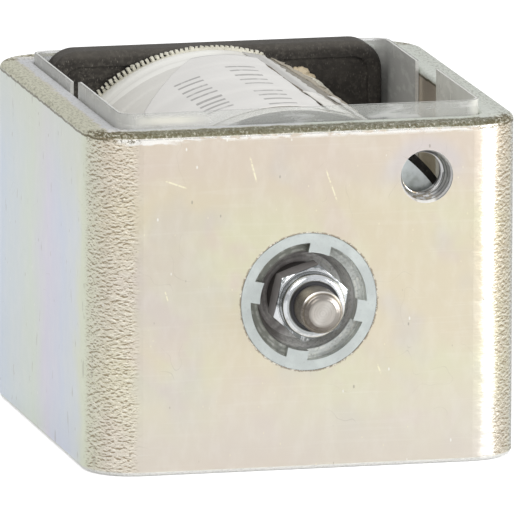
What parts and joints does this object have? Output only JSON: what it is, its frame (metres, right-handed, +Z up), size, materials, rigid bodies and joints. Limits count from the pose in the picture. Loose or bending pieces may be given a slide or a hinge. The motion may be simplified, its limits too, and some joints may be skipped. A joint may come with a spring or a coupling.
{
  "type": "push solenoid",
  "caption": "Push solenoid with an open steel box frame, taped coil on a black bobbin, film liners, staked front pole and a sliding rod with a lock nut.",
  "frame": {"origin": "Centre of the overall length and width at the lower edge of the steel frame, on which the object stands. The rod axis runs 19.7 mm above it.", "axes": "+Z up. -Y is the way the rod pushes out of the front face. +X is to the right when the front face is looked at."},
  "size_m": [0.051, 0.0604, 0.0419],
  "materials": {
    "zinc_steel": "passivated zinc, pale iridescent",
    "pole_zinc": "zinc plated, turned",
    "washer_zinc": "zinc plated, punched",
    "plunger_zinc": "nickel plated, turned",
    "bright_zinc": "bright zinc",
    "stainless": "turned",
    "spring_steel": "drawn wire",
    "bronze": "sintered",
    "brass": "drawn",
    "enamelled_copper": "enamelled wire",
    "tinned_metal": "tinned",
    "black_moulding": "glass filled nylon",
    "black_rubber": "moulded",
    "nylon_ring": "moulded",
    "white_tape": "woven tape under a thin coat",
    "cream_padding": "soft insulation",
    "cream_paper": "fringed insulation paper",
    "label_paper": "matt",
    "amber_glue": "cured glue",
    "clear_film": "translucent film"
  },
  "bodies": {
    "housing": {"box_frame": "zinc_steel", "front_pole": "pole_zinc", "rod_bush": "bronze", "pole_shim": "brass", "buffer_washer": "black_rubber", "front_flux_washer": "washer_zinc", "guide_tube": "brass", "rear_flux_bush": "pole_zinc", "bobbin": "black_moulding", "winding": "enamelled_copper", "coil_padding": "cream_padding", "lead_joints": "tinned_metal", "coil_wrap": "white_tape", "paper_collar": "cream_paper", "rating_label": "label_paper", "glue_dab": "amber_glue", "front_film": "clear_film", "rear_film": "clear_film", "return_spring": "spring_steel"},
    "plunger_group": {"plunger": "plunger_zinc", "cross_pin": "stainless", "push_rod": "stainless", "lock_nut": "bright_zinc", "nut_insert": "nylon_ring"}
  },
  "joints": [
    {"name": "plunger_slide", "type": "slide", "parent": "housing", "child": "plunger_group", "axis": [0, -1, 0], "range_m": [0, 0.005], "stiffness_N_per_m": 250, "springref_m": -0.004, "deforming": ["return_spring"]}
  ]
}
